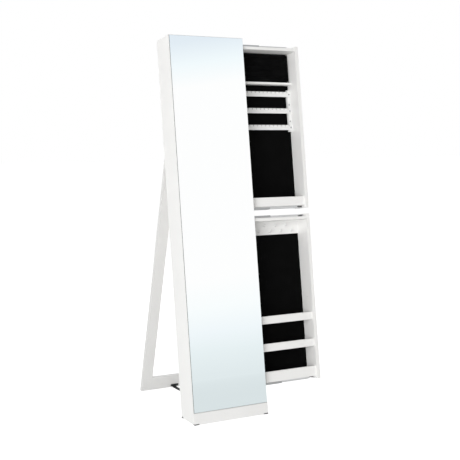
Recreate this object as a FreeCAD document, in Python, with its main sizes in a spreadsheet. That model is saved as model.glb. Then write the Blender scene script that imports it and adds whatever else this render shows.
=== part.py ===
import FreeCAD, Part
import math
import os
import re
import Sketcher
from FreeCAD import Placement, Rotation, Vector

# Jewelry mirror cabinet: a tall leaning mirror on a rear prop leg.
# Two shallow boxes pull out of its right side.
# The housing and the boxes are drawn in a leaning frame: x from the left side panel's outer face,
# y backwards from the mirror, z up along the lean from the front edge of the base.
# The leg is drawn in a frame of its own, with its origin on the hinge line and the leg hanging down z.
# The whole part has its origin on the floor, at the centre of the base's footprint.

doc = FreeCAD.newDocument("JewelryMirrorCabinet")

SIZES = {
    # overall
    "width": 325,
    "depth": 115,
    "height": 1500,
    "lean": 8.2,
    # boards
    "board": 15,
    "wall": 12,
    "thin": 9,
    "ease": 0.5,
    # carcass
    "plinth_height": 45,
    "base_top": 105,
    "divider_low": 790,
    "divider_thick": 20,
    "back_thick": 5,
    "back_recess": 6,
    "foot_pad_width": 20,
    "foot_pad_length": 15,
    "foot_pad_height": 4.5,
    # mirror
    "glass": 3,
    "glass_inset": 1.5,
    "backing": 9,
    # pull-outs
    "box_side_gap": 5,
    "box_front_gap": 2,
    "box_back_gap": 3,
    "reveal": 2,
    "top_reveal": 5,
    "lip_recess": 10,
    "liner": 4,
    "upper_lip_height": 37,
    "lower_lip_height": 42,
    "peg_hole_radius": 2.5,
    "peg_hole_depth": 8,
    "peg_hole_back": 50,
    "upper_peg_hole": 1142,
    "lower_peg_hole": 445,
    # ring cushion and its ledge
    "ledge_depth": 27,
    "cushion_height": 120.9,
    "cushion_thick": 24.7,
    "cushion_corner": 7,
    "cushion_flat": 16.9,
    "soft_gap": 0.3,
    # earring rack
    "strip_width": 14,
    "strip_thick": 12,
    "strip_drop": 20.5,
    "strip_height": 174,
    "bar_thick": 3,
    "bar_height": 21,
    "bar_rise": 7,
    "bar_pitch": 69.25,
    "notch_width": 3,
    "notch_depth": 6,
    "notch_pitch": 19,
    "strip_screw_above": 37,
    # lower pull-out
    "high_shelf_rise": 233,
    "low_shelf_rise": 123,
    "shelf_lip_height": 31,
    "hook_board_thick": 4,
    "hook_board_height": 55.5,
    "hook_pitch": 51,
    "hook_row_shift": 3,
    "hook_low_rise": 10.5,
    "hook_high_rise": 34.5,
    "hook_wire_radius": 2,
    "hook_reach": 8,
    "hook_bend": 4,
    "hook_tip": 4,
    # ball-bearing slides
    "slide_space": 13,
    "slide_width": 35,
    "slide_back": 51,
    "slide_end_gap": 40,
    "slide_overtravel": 2,
    "slide_metal": 1.2,
    "slide_play": 0.5,
    "slide_lip": 2.4,
    "slide_outer_height": 10.5,
    # rear support leg and its hinges
    "hinge_height": 1042,
    "leg_open": 23.4,
    "leg_inset": 8,
    "leg_thick": 16,
    "stile_width": 46,
    "top_rail_height": 60,
    "bottom_rail_height": 62,
    "hinge_rail_thick": 23,
    "hinge_rail_height": 60,
    "hinge_rail_inset": 30,
    "hinge_gap": 1.2,
    "hinge_centre": 95,
    "leaf_width": 60,
    "leaf_height": 28,
    "leaf_thick": 1.5,
    "leaf_screw_edge": 10,
    "leaf_screw_height": 18,
    "knuckle_radius": 3,
    "knuckle_play": 0.3,
    "pin_radius": 1.5,
    "pin_play": 0.08,
    "pin_head_radius": 2.6,
    "pin_head_height": 1.2,
    # restraint strap
    "strap_width": 18,
    "strap_thick": 1.5,
    "strap_lift": 0.4,
    "strap_housing_height": 39,
    "strap_leg_height": 10.5,
    "strap_play": 0.3,
    "strap_drop": 11,
    "strap_run_out": 34,
    "strap_bend": 16,
    "strap_fold": 3,
    "anchor_width": 34,
    "anchor_height": 20,
    "leg_anchor_height": 9,
    "anchor_thick": 2,
    "anchor_screw_out": 13.2,
    # screws
    "screw_radius": 1.6,
    "screw_length": 14,
    "short_screw_length": 8,
    "long_screw_length": 26,
    "screw_edge": 25,
    "screw_play": 0.15,
    "screw_head_radius": 3.5,
    "screw_head_height": 1.6,
    "screw_head_slope": 1,
    "screw_slot_length": 3.8,
    "screw_slot_width": 0.8,
    "screw_slot_depth": 0.9,
}

# How many of each repeated piece there are.
SCREWS_ACROSS_BACK = 4
SCREWS_ACROSS_BOX = 3
SCREWS_IN_LEAF = 3
SCREWS_IN_STRIP = 2
EARRING_BARS = 3
HOOKS_IN_LOW_ROW = 5
HOOKS_IN_HIGH_ROW = 4

# Places that follow from the sizes, each from the names above it.
PLACES = {
    "lean_sin": "sin(lean * 1 deg)",
    "lean_cos": "cos(lean * 1 deg)",
    "floor_slope": "lean_sin / lean_cos",
    "foot_half": "depth / lean_cos / 2",
    # carcass
    "carcass_front": "glass + backing",
    "carcass_back": "depth - back_recess - back_thick",
    "back_face": "depth - back_recess",
    "base_low": "base_top - board",
    "divider_top": "divider_low + divider_thick",
    "top_low": "height - board",
    # slides and travel
    "slide_start": "board + box_side_gap",
    "slide_length": "width - slide_start - slide_end_gap",
    "travel": "slide_length + slide_overtravel",
    # pull-outs, at rest fully out
    "box_front": "carcass_front + box_front_gap",
    "box_back": "carcass_back - box_back_gap",
    "box_left": "board + box_side_gap + travel",
    "box_inside": "box_left + wall",
    "end_outside": "width + travel",
    "end_inside": "end_outside - board",
    "liner_back": "box_back - thin",
    "liner_front": "liner_back - liner",
    "lip_front": "box_front + lip_recess",
    "lip_back": "lip_front + thin",
    "lower_low": "base_top + slide_space",
    "lower_high": "divider_low - slide_space",
    "upper_low": "divider_top + slide_space",
    "upper_high": "top_low - slide_space",
    # ring cushion and its ledge
    "cushion_back": "liner_front - soft_gap",
    "cushion_high": "upper_high - wall - soft_gap",
    "cushion_low": "cushion_high - cushion_height",
    "crown_reach": "(cushion_height - cushion_flat) / 2 - cushion_corner",
    "ledge_low": "cushion_low - soft_gap - thin",
    # earring rack
    "strip_high": "ledge_low - strip_drop",
    "strip_low": "strip_high - strip_height",
    "bar_low": "strip_low + bar_rise",
    "strip_front": "liner_front - strip_thick",
    "bar_front": "strip_front - bar_thick",
    "notch_count": "floor((end_inside - box_inside) / notch_pitch)",
    "notch_start": "(box_inside + end_inside - (notch_count - 1) * notch_pitch - notch_width) / 2",
    "strip_inside_left": "box_inside + strip_width",
    "strip_inside_right": "end_inside - strip_width",
    # lower pull-out
    "high_shelf_low": "lower_low + high_shelf_rise",
    "low_shelf_low": "lower_low + low_shelf_rise",
    "hook_board_low": "lower_high - wall - hook_board_height",
    "hook_low_row": "hook_board_low + hook_low_rise",
    "hook_high_row": "hook_board_low + hook_high_rise",
    "hook_middle": "(box_inside + end_inside) / 2 - hook_row_shift",
    # slide members
    "outer_half": "slide_width / 2",
    "middle_half": "outer_half - slide_metal - slide_play",
    "middle_low": "slide_metal + slide_play",
    "middle_high": "slide_outer_height - slide_metal - slide_play",
    "inner_foot_half": "middle_half - slide_metal - slide_play",
    "inner_half": "inner_foot_half - slide_lip",
    "inner_low": "middle_low + slide_metal + slide_play",
    # leg: the hinge line and the leg's own frame
    "leg_tilt": "leg_open - lean",
    "leg_sin": "sin(leg_tilt * 1 deg)",
    "leg_cos": "cos(leg_tilt * 1 deg)",
    "hinge_rail_back": "back_face + hinge_rail_thick",
    "hinge_back": "hinge_rail_back + knuckle_radius",
    "pivot_y": "hinge_back * lean_cos + hinge_height * lean_sin - foot_half",
    "pivot_z": "hinge_height * lean_cos - hinge_back * lean_sin",
    "leg_back": "-knuckle_radius",
    "leg_front": "leg_back - leg_thick",
    "foot_back": "-(pivot_z + leg_back * leg_sin) / leg_cos",
    "foot_front": "-(pivot_z + leg_front * leg_sin) / leg_cos",
    "leg_left": "leg_inset",
    "leg_right": "width - leg_inset",
    "knuckle_length": "(leaf_width - 4 * knuckle_play) / 5",
}

PIECES = []


def bound(text):
    """The expression with each named size or place written as its cell."""
    def cell(match):
        name = match[0]
        sheet = "Sizes." if name in SIZES else "Places." if name in PLACES else ""
        return sheet + name
    return re.sub(r"[a-z_]+", cell, str(text))


def fill(sheet, rows):
    for row, (alias, value) in enumerate(rows, start=1):
        sheet.set(f"A{row}", alias)
        sheet.set(f"B{row}", value)
        sheet.setAlias(f"B{row}", alias)


sizes_sheet = doc.addObject("Spreadsheet::Sheet", "Sizes")
fill(sizes_sheet, [(name, str(size)) for name, size in SIZES.items()])
places_sheet = doc.addObject("Spreadsheet::Sheet", "Places")
fill(places_sheet, [(name, "=" + bound(rule)) for name, rule in PLACES.items()])
doc.recompute()


def value(name):
    """A size or place as a number, as the sheets hold it now."""
    return float((sizes_sheet if name in SIZES else places_sheet).get(name))


# Each frame: the axis and angle of its turn, and where its origin lies.
FRAMES = {
    "leaning": (Vector(-1, 0, 0), "lean", ("-width / 2", "-foot_half", "0")),
    "leg": (Vector(1, 0, 0), "leg_tilt", ("-width / 2", "pivot_y", "pivot_z")),
    "floor": (Vector(0, 0, 1), "0", ("0", "0", "0")),
}


def keep(piece, label, frame):
    """Give a finished piece its label and its frame's placement, and list it for writing."""
    axis, angle, base = FRAMES[frame]
    piece.Label = label
    piece.Placement = Placement(Vector(), Rotation(axis, 1))
    piece.setExpression("Placement.Rotation.Angle", bound(f"({angle}) * 1 deg"))
    for name, place in zip("xyz", base):
        piece.setExpression(f"Placement.Base.{name}", bound(place))
    PIECES.append(piece)
    return piece


def bind(thing, **rules):
    for name, rule in rules.items():
        thing.setExpression(name, bound(rule))
    return thing


def at(thing, x, y, z):
    for name, place in zip("xyz", (x, y, z)):
        thing.setExpression(f"Placement.Base.{name}", bound(place))
    return thing


# ---- bodies from sketches ----

def origin_feature(body, role):
    return next(feature for feature in body.Origin.OriginFeatures if feature.Role == role)


def attach(body, name, plane, offset):
    sketch = body.newObject("Sketcher::SketchObject", name)
    sketch.AttachmentSupport = (origin_feature(body, plane), [""])
    sketch.MapMode = "FlatFace"
    sketch.setExpression("AttachmentOffset.Base.z", bound(offset))
    return sketch


def outline(body, name, plane, offset, points):
    """A closed sketch of straight lines, with each corner bound to its two coordinates."""
    sketch = attach(body, name, plane, offset)
    count = len(points)
    corners = [Vector(number(across), number(up), 0) for across, up in points]
    for this in range(count):
        sketch.addGeometry(Part.LineSegment(corners[this], corners[(this + 1) % count]), False)
    for this in range(count):
        sketch.addConstraint(Sketcher.Constraint("Coincident", this, 2, (this + 1) % count, 1))
    for this, (across, up) in enumerate(points):
        corner = corners[this]
        for kind, rule, size in (("DistanceX", across, corner.x), ("DistanceY", up, corner.y)):
            index = sketch.addConstraint(Sketcher.Constraint(kind, -1, 1, this, 1, size))
            sketch.setExpression(f"Constraints[{index}]", bound(rule))
    return sketch


def number(rule):
    """The number that an expression of sizes and places has now."""
    result = places_sheet.evalExpression(bound(rule))
    return float(getattr(result, "Value", result))


def prism(label, x, points, eased=True):
    """A body of constant section, drawn in (y, z) and padded along x between two places."""
    body = doc.addObject("PartDesign::Body", label)
    pad = body.newObject("PartDesign::Pad", label + "_pad")
    pad.Profile = outline(body, label + "_section", "YZ_Plane", x[0], points)
    bind(pad, Length=f"({x[1]}) - ({x[0]})")
    if eased:
        doc.recompute()
        ease_edges(body, pad)
    return body


def ease_edges(body, feature):
    ease = body.newObject("PartDesign::Chamfer", body.Name + "_ease")
    ease.Base = (feature, [""])
    ease.UseAllEdges = True
    bind(ease, Size="ease")
    return ease


def rectangle(y, z):
    return ((y[0], z[0]), (y[1], z[0]), (y[1], z[1]), (y[0], z[1]))


def board(label, x, y, z):
    """A rectangular board of the leaning carcass, with eased edges."""
    return keep(prism(label, x, rectangle(y, z)), label, "leaning")


def bore(body, centre_y, centre_z, face_x, radius, depth):
    """A blind hole along +x into a body, from the face at face_x."""
    solid = body.Tip
    sketch = attach(body, body.Name + "_hole", "YZ_Plane", face_x)
    centre = Vector(number(centre_y), number(centre_z), 0)
    sketch.addGeometry(Part.Circle(centre, Vector(0, 0, 1), number(radius)), False)
    sizes = [
        (Sketcher.Constraint("DistanceX", -1, 1, 0, 3, centre.x), centre_y),
        (Sketcher.Constraint("DistanceY", -1, 1, 0, 3, centre.y), centre_z),
        (Sketcher.Constraint("Radius", 0, number(radius)), radius),
    ]
    for constraint, rule in sizes:
        index = sketch.addConstraint(constraint)
        sketch.setExpression(f"Constraints[{index}]", bound(rule))
    pocket = body.newObject("PartDesign::Pocket", body.Name + "_bore")
    pocket.Profile = sketch
    pocket.Reversed = True
    bind(pocket, Length=depth)
    doc.recompute()
    if not pocket.Shape.Volume < solid.Shape.Volume:
        raise ValueError(f"{body.Label}: the hole cuts nothing")


# ---- solids from primitives ----

def block(name, x, y, z):
    """A plain block between two places along each axis."""
    box = doc.addObject("Part::Box", name)
    bind(box, Length=f"({x[1]}) - ({x[0]})", Width=f"({y[1]}) - ({y[0]})", Height=f"({z[1]}) - ({z[0]})")
    return at(box, x[0], y[0], z[0])


TURNS = {
    "up": Rotation(),
    "forward": Rotation(Vector(1, 0, 0), 90),
    "backward": Rotation(Vector(1, 0, 0), -90),
    "right": Rotation(Vector(0, 1, 0), 90),
}


def rod(name, place, direction, radius, length):
    cylinder = doc.addObject("Part::Cylinder", name)
    cylinder.Placement = Placement(Vector(), TURNS[direction])
    bind(cylinder, Radius=radius, Height=length)
    return at(cylinder, *place)


def fuse(name, shapes):
    joined = doc.addObject("Part::MultiFuse", name)
    joined.Shapes = shapes
    return joined


def cut(name, base, tool):
    made = doc.addObject("Part::Cut", name)
    made.Base = base
    made.Tool = tool
    return made


def group(label, members, frame):
    """Separate solids that are one piece of the list, such as a set of screws."""
    compound = doc.addObject("Part::Compound", label)
    compound.Links = members
    return keep(compound, label, frame)


HOLE_RADIUS = "screw_radius + screw_play"


def screw(name, place, direction, length="screw_length"):
    """A pan-head screw with a cross slot. Its head sits on the face at place and points in direction."""
    turn = TURNS[direction]

    def local(x, y, z):
        """A place that is given from the screw's own axes, as expressions for the piece's frame."""
        axes = [turn.multVec(Vector(*axis)) for axis in ((1, 0, 0), (0, 1, 0), (0, 0, 1))]
        places = []
        for row in range(3):
            steps = [f"({step}) * ({axis[row]:.0f})" for step, axis in zip((x, y, z), axes)]
            places.append(" + ".join([f"({place[row]})", *steps]))
        return places

    head = doc.addObject("Part::Cone", name + "_head")
    head.Placement = Placement(Vector(), turn)
    bind(head, Radius1="screw_head_radius", Radius2="screw_head_radius - screw_head_slope")
    bind(head, Height="screw_head_height")
    at(head, *place)
    shank = rod(name + "_shank", local(0, 0, f"-({length})"), direction, "screw_radius", length)
    slots = []
    for wide, tall in (("screw_slot_length", "screw_slot_width"), ("screw_slot_width", "screw_slot_length")):
        slot = doc.addObject("Part::Box", name + "_slot")
        slot.Placement = Placement(Vector(), turn)
        bind(slot, Length=wide, Width=tall, Height="screw_slot_depth")
        slots.append(at(slot, *local(f"-{wide} / 2", f"-{tall} / 2", "screw_head_height - screw_slot_depth")))
    return cut(name, fuse(name + "_body", [head, shank]), fuse(name + "_slots", slots))


# ---- housing ----

def floor_at(y):
    """The height along the lean at which the floor lies, at a depth y."""
    return f"({y}) * floor_slope"


INSIDE = ("board", "width")
CARCASS_DEPTH = ("carcass_front", "carcass_back")


def panels():
    board("top_panel", INSIDE, CARCASS_DEPTH, ("top_low", "height"))
    board("middle_divider", INSIDE, CARCASS_DEPTH, ("divider_low", "divider_top"))
    board("base_panel", INSIDE, CARCASS_DEPTH, ("base_low", "base_top"))
    board("back_panel", INSIDE, ("carcass_back", "back_face"), ("base_low", "height"))
    board("backing_board", ("0", "width"), ("glass", "carcass_front"), ("plinth_height", "height"))
    board(
        "mirror_glass",
        ("glass_inset", "width - glass_inset"),
        ("0", "glass"),
        ("plinth_height + glass_inset", "height - glass_inset"),
    )
    board(
        "hinge_rail",
        ("hinge_rail_inset", "width - hinge_rail_inset"),
        ("back_face", "hinge_rail_back"),
        ("hinge_height + hinge_gap", "hinge_height + hinge_gap + hinge_rail_height"),
    )


def cheek(label, x, back, top):
    """An upright side board that stands on the floor, with its rear corner cut for a foot pad."""
    body = standing_board(label, x, ("carcass_front", back), top, top)
    corner = ((f"{back} - foot_pad_length", f"{back} + foot_pad_length"), ("-foot_pad_height", pad_top(back)))
    notch(body, "YZ_Plane", rectangle(*corner))


def standing_board(label, x, y, top_front, top_back):
    """A board whose underside lies flat on the floor."""
    points = ((y[0], floor_at(y[0])), (y[1], floor_at(y[1])), (y[1], top_back), (y[0], top_front))
    return keep(prism(label, x, points), label, "leaning")


def notch(body, plane, points):
    """A cut right through a body, square to the plane that its outline is drawn in."""
    solid = body.Tip
    pocket = body.newObject("PartDesign::Pocket", body.Name + "_notch")
    pocket.Profile = outline(body, body.Name + "_notch_outline", plane, "0", points)
    pocket.Type = "ThroughAll"
    pocket.Midplane = True
    doc.recompute()
    if not pocket.Shape.Volume < solid.Shape.Volume:
        raise ValueError(f"{body.Label}: the notch cuts nothing")
    return pocket


def base():
    cheek("left_side_panel", ("0", "board"), "depth", "height")
    cheek("right_base_cheek", ("width - board", "width"), "back_face", "base_low")
    between = ("board", "width - board")
    rail_front = "back_face - wall"
    standing_board("rear_base_rail", between, (rail_front, "back_face"), "base_low", "base_low")
    floor_board_depth = ("carcass_front", rail_front)
    tops = [floor_at(y) + " + thin / lean_cos" for y in floor_board_depth]
    standing_board("floor_board", between, floor_board_depth, *tops)
    plinth_depth = ("0", "carcass_front")
    plinth = standing_board("plinth_board", ("0", "width"), plinth_depth, "plinth_height", "plinth_height")
    ends = (("0", "foot_pad_width"), ("width - foot_pad_width", "width"))
    pads = []
    for x in ends:
        notch(plinth, "XZ_Plane", rectangle(x, ("-foot_pad_height", "foot_pad_height")))
        pads.append(foot_pad(x, "0", "carcass_front", "foot_pad_height"))
    for x, back in ((("0", "board"), "depth"), (("width - board", "width"), "back_face")):
        pads.append(foot_pad(x, f"{back} - foot_pad_length", back, pad_top(back)))
    group("foot_pads", pads, "leaning")


def pad_top(back):
    """The top of a foot pad in a rear corner, whose back edge is at a depth."""
    return floor_at(back) + " + foot_pad_height"


def foot_pad(x, front, back, top):
    points = ((front, floor_at(front)), (back, floor_at(back)), (back, top), (front, top))
    return prism("foot_pad", x, points, eased=False)


def back_screws(label, xs, y, zs, length):
    """Rows of screws whose heads point backwards."""
    places = [(x, y, z) for z in zs for x in xs]
    screws = [screw(f"{label}_{index}", place, "backward", length) for index, place in enumerate(places)]
    group(label, screws, "leaning")


def spread(first, last, count):
    """Evenly spaced places from first to last."""
    return [f"({first}) + (({last}) - ({first})) * {index} / {count - 1}" for index in range(count)]


def housing_screws():
    rows = ("base_low + board / 2", "divider_low + divider_thick / 2", "height - board / 2")
    xs = spread("board + screw_edge", "width - screw_edge", SCREWS_ACROSS_BACK)
    back_screws("back_panel_screws", xs, "back_face", rows, "screw_length")


# ---- the leg's hinges ----

def along(start, side, distance):
    return f"{start} + ({side}) * ({distance})"


def leaf(name, centre, y, z, side, knuckles):
    """A hinge leaf on a rear face, about the hinge line at (y, z). Its side is 1 for up and -1 for down."""
    left = f"{centre} - leaf_width / 2"
    face = (f"{y} - knuckle_radius", f"{y} - knuckle_radius + leaf_thick")

    def reach(near, far):
        ends = (along(z, side, near), along(z, side, far))
        return ends if side > 0 else ends[::-1]

    plate_height = reach("knuckle_radius + knuckle_play", "leaf_height")
    shapes = [block(name + "_plate", (left, left + " + leaf_width"), face, plate_height)]
    for index in knuckles:
        start = f"{left} + {index} * (knuckle_length + knuckle_play)"
        ends = (start, start + " + knuckle_length")
        shapes.append(block(f"{name}_tab_{index}", ends, face, reach("0", "leaf_height / 2")))
        line = (start, y, z)
        shapes.append(rod(f"{name}_knuckle_{index}", line, "right", "knuckle_radius", "knuckle_length"))
    holes = [rod(name + "_bore", (left, y, z), "right", "pin_radius + pin_play", "leaf_width")]
    screws = []
    first, last = f"{left} + leaf_screw_edge", f"{left} + leaf_width - leaf_screw_edge"
    for index, x in enumerate(spread(first, last, SCREWS_IN_LEAF)):
        height = along(z, side, "leaf_screw_height")
        hole = rod(f"{name}_hole_{index}", (x, face[0], height), "backward", HOLE_RADIUS, "leaf_thick")
        holes.append(hole)
        screws.append(screw(f"{name}_screw_{index}", (x, face[1], height), "backward"))
    return [cut(name, fuse(name + "_solid", shapes), fuse(name + "_holes", holes)), *screws]


def hinges():
    fixed, moving, pins = [], [], []
    for index, centre in enumerate(("hinge_centre", "width - hinge_centre")):
        fixed += leaf(f"fixed_leaf_{index}", centre, "hinge_back", "hinge_height", 1, (0, 2, 4))
        moving += leaf(f"moving_leaf_{index}", centre, "0", "0", -1, (1, 3))
        left = f"{centre} - leaf_width / 2"
        line = ("hinge_back", "hinge_height")
        shapes = [rod(f"pin_{index}_shaft", (left, *line), "right", "pin_radius", "leaf_width")]
        for side, end in (("left", f"{left} - pin_head_height"), ("right", f"{left} + leaf_width")):
            head = f"pin_{index}_head_{side}"
            shapes.append(rod(head, (end, *line), "right", "pin_head_radius", "pin_head_height"))
        pins.append(fuse(f"pin_{index}", shapes))
    group("fixed_hinge_leaves", fixed, "leaning")
    group("hinge_pins", pins, "leaning")
    group("moving_hinge_leaves", moving, "leg")


# ---- ball-bearing slides ----

def lipped_channel(half, low, high):
    """Half of a channel's section from its open edge to its web: flange, inward lip, web."""
    return (
        (half, low),
        (half, high),
        (f"{half} - slide_metal - slide_lip", high),
        (f"{half} - slide_metal - slide_lip", f"{high} - slide_metal"),
        (f"{half} - slide_metal", f"{high} - slide_metal"),
        (f"{half} - slide_metal", f"{low} + slide_metal"),
    )


def footed_channel():
    """Half of the inner member's section: web on the box, flange, outward foot."""
    return (
        ("inner_half", "slide_space"),
        ("inner_half", "inner_low + slide_metal"),
        ("inner_foot_half", "inner_low + slide_metal"),
        ("inner_foot_half", "inner_low"),
        ("inner_half - slide_metal", "inner_low"),
        ("inner_half - slide_metal", "slide_space - slide_metal"),
    )


MEMBERS = {
    "outers": (lipped_channel("outer_half", "0", "slide_outer_height"), "slide_start"),
    "middles": (lipped_channel("middle_half", "middle_low", "middle_high"), "slide_start + travel / 2"),
    "inners": (footed_channel(), "slide_start + travel"),
}


def slides(box, floor, ceiling):
    """The members of a box's two slides, one lying on the floor of its space and one under the ceiling."""
    for member, (half_section, start) in MEMBERS.items():
        channels = []
        for side, base in ((1, floor), (-1, ceiling)):
            right = [(f"slide_back + ({y})", along(base, side, z)) for y, z in half_section]
            left = [(f"slide_back - ({y})", along(base, side, z)) for y, z in half_section]
            ends = (start, f"{start} + slide_length")
            channels.append(prism(f"{box}_{member}", ends, (*right, *reversed(left)), eased=False))
        group(f"{box}_slide_{member}", channels, "leaning")


# ---- pull-outs ----

BOX_X = ("box_inside", "end_inside")
BOX_DEPTH = ("box_front", "box_back")
BEHIND_LIP = ("lip_back", "box_back")
LIP_DEPTH = ("lip_front", "lip_back")
SHELF_DEPTH = ("lip_back", "liner_front")


def box(name, low, high, end_low, end_high, lip_height, peg_hole):
    """A pull-out box: its end panel, boards, felt liner and bottom lip."""
    end_panel = board(f"{name}_end_panel", ("end_inside", "end_outside"), BOX_DEPTH, (end_low, end_high))
    bore(end_panel, "peg_hole_back", peg_hole, "end_inside", "peg_hole_radius", "peg_hole_depth")
    board(f"{name}_left_board", ("box_left", "box_inside"), BOX_DEPTH, (low, high))
    board(f"{name}_top_board", BOX_X, BOX_DEPTH, (f"{high} - wall", high))
    board(f"{name}_bottom_board", BOX_X, BEHIND_LIP, (low, f"{low} + wall"))
    between = (f"{low} + wall", f"{high} - wall")
    board(f"{name}_back_board", BOX_X, ("liner_back", "box_back"), between)
    board(f"{name}_felt_liner", BOX_X, ("liner_front", "liner_back"), between)
    board(f"{name}_bottom_lip", BOX_X, LIP_DEPTH, (low, f"{low} + {lip_height}"))


# The ring cushion's sections from its back to its crown: how far each one lies in front of the back,
# as a share of the thickness, and how far its outline is drawn in there, as a share of the crown's reach.
CUSHION_SECTIONS = ((0, 0.03), (0.35, 0), (0.65, 0.02), (0.86, 0.11), (0.96, 0.35), (1, 1))


def ring_cushion():
    """A pad with a crowned front and drawn-in sides."""
    body = doc.addObject("PartDesign::Body", "ring_cushion")
    left, right = "box_inside + soft_gap", "end_inside - soft_gap"
    low, high = "cushion_low", "cushion_high"
    sections = []
    for index, (forward, inward) in enumerate(CUSHION_SECTIONS):
        depth = f"-(cushion_back - cushion_thick * {forward})"
        inset = f"crown_reach * {inward}"
        xs = (f"{left} + {inset}", f"{left} + {inset} + cushion_corner",
              f"{right} - {inset} - cushion_corner", f"{right} - {inset}")
        zs = (f"{low} + {inset}", f"{low} + {inset} + cushion_corner",
              f"{high} - {inset} - cushion_corner", f"{high} - {inset}")
        corners = (
            (xs[0], zs[1]), (xs[1], zs[0]), (xs[2], zs[0]), (xs[3], zs[1]),
            (xs[3], zs[2]), (xs[2], zs[3]), (xs[1], zs[3]), (xs[0], zs[2]),
        )
        sections.append(outline(body, f"cushion_section_{index}", "XZ_Plane", depth, corners))
    loft = body.newObject("PartDesign::AdditiveLoft", "cushion_loft")
    loft.Profile = sections[0]
    loft.Sections = sections[1:]
    loft.Ruled = True
    keep(body, "ring_cushion", "leaning")


def earring_bar(label, low):
    """A thin bar across the box with a row of notches in its upper edge."""
    body = doc.addObject("PartDesign::Body", label)
    pad = body.newObject("PartDesign::Pad", label + "_pad")
    high = f"{low} + bar_height"
    pad.Profile = outline(body, label + "_outline", "XZ_Plane", "-bar_front", rectangle(BOX_X, (low, high)))
    pad.Reversed = True
    bind(pad, Length="bar_thick")
    doc.recompute()
    slot_width = ("notch_start", "notch_start + notch_width")
    slot_height = (f"{high} - notch_depth", f"{high} + notch_depth")
    first = notch(body, "XZ_Plane", rectangle(slot_width, slot_height))
    row = body.newObject("PartDesign::LinearPattern", label + "_notches")
    row.Originals = [first]
    row.Direction = (origin_feature(body, "X_Axis"), [""])
    row.Mode = "Spacing"
    bind(row, Offset="notch_pitch", Occurrences="notch_count")
    body.Tip = row
    keep(body, label, "leaning")


def earring_rack():
    strips, screws = [], []
    strip_section = rectangle(("strip_front", "liner_front"), ("strip_low", "strip_high"))
    spans = {"left": ("box_inside", "strip_inside_left"), "right": ("strip_inside_right", "end_inside")}
    for side, x in spans.items():
        strips.append(prism(f"rack_strip_{side}", x, strip_section))
        middle = f"({x[0]} + {x[1]}) / 2"
        for index in range(EARRING_BARS):
            centre = f"bar_low + {index} * bar_pitch + bar_height / 2"
            screws.append(screw(f"bar_screw_{side}_{index}", (middle, "bar_front", centre), "forward"))
        for index in range(SCREWS_IN_STRIP):
            height = f"bar_low + {index} * bar_pitch + strip_screw_above"
            place = (middle, "strip_front", height)
            screws.append(screw(f"strip_screw_{side}_{index}", place, "forward", "short_screw_length"))
    group("rack_strips", strips, "leaning")
    group("rack_screws", screws, "leaning")
    for index in range(EARRING_BARS):
        earring_bar(f"earring_bar_{EARRING_BARS - index}", f"bar_low + {index} * bar_pitch")


def upper_pullout():
    box("upper", "upper_low", "upper_high", "divider_top + reveal", "height - board - top_reveal",
        "upper_lip_height", "upper_peg_hole")
    ledge_depth = ("liner_front - ledge_depth", "liner_front")
    board("ring_ledge", BOX_X, ledge_depth, ("ledge_low", "ledge_low + thin"))
    ring_cushion()
    earring_rack()
    box_back_screws("upper", ["ledge_low + thin / 2"])
    slides("upper", "divider_top", "top_low")


def box_back_screws(name, rows):
    """Screws through a box's back board and felt into the shelves."""
    xs = spread("box_inside + screw_edge", "end_inside - screw_edge", SCREWS_ACROSS_BOX)
    back_screws(f"{name}_back_screws", xs, "box_back", rows, "long_screw_length")


def hook(name, x, z):
    """A round J hook: a short arm forwards out of the hook board, a bend and an upright tip."""
    face = "liner_front - hook_board_thick"
    elbow = f"{face} - hook_reach"
    tip_y = f"{elbow} - hook_bend"
    tip_z = f"{z} + hook_bend"
    arm = rod(name + "_arm", (x, face, z), "forward", "hook_wire_radius", "hook_reach")
    bend = doc.addObject("Part::Torus", name + "_bend")
    axes = (Vector(0, 0, -1), Vector(0, -1, 0), Vector(-1, 0, 0))
    bend.Placement = Placement(Vector(), Rotation(*axes, "XYZ"))
    bend.Angle3 = 90
    bind(bend, Radius1="hook_bend", Radius2="hook_wire_radius")
    at(bend, x, elbow, tip_z)
    tip = rod(name + "_tip", (x, tip_y, tip_z), "up", "hook_wire_radius", "hook_tip")
    end = doc.addObject("Part::Sphere", name + "_end")
    bind(end, Radius="hook_wire_radius")
    at(end, x, tip_y, f"{tip_z} + hook_tip")
    return fuse(name, [arm, bend, tip, end])


def hook_rows():
    hook_board_depth = ("liner_front - hook_board_thick", "liner_front")
    board("hook_board", BOX_X, hook_board_depth, ("hook_board_low", "lower_high - wall"))
    hooks = []
    rows = (("low", HOOKS_IN_LOW_ROW, "hook_low_row"), ("high", HOOKS_IN_HIGH_ROW, "hook_high_row"))
    for row, count, height in rows:
        for index in range(count):
            x = f"hook_middle + ({index} - {count - 1} / 2) * hook_pitch"
            hooks.append(hook(f"hook_{row}_{index}", x, height))
    group("necklace_hooks", hooks, "leaning")


def lower_pullout():
    box("lower", "lower_low", "lower_high", "base_top + reveal", "divider_low - reveal",
        "lower_lip_height", "lower_peg_hole")
    hook_rows()
    rows = []
    for name, low in (("high_shelf", "high_shelf_low"), ("low_shelf", "low_shelf_low")):
        board(name, BOX_X, SHELF_DEPTH, (low, f"{low} + thin"))
        board(f"{name}_lip", BOX_X, LIP_DEPTH, (low, f"{low} + shelf_lip_height"))
        rows.append(f"{low} + thin / 2")
    box_back_screws("lower", rows)
    slides("lower", "base_top", "divider_low")


# ---- rear support leg ----

LEG_DEPTH = ("leg_front", "leg_back")


def leg_board(label, x, section):
    keep(prism(label, x, section), label, "leg")


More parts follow.
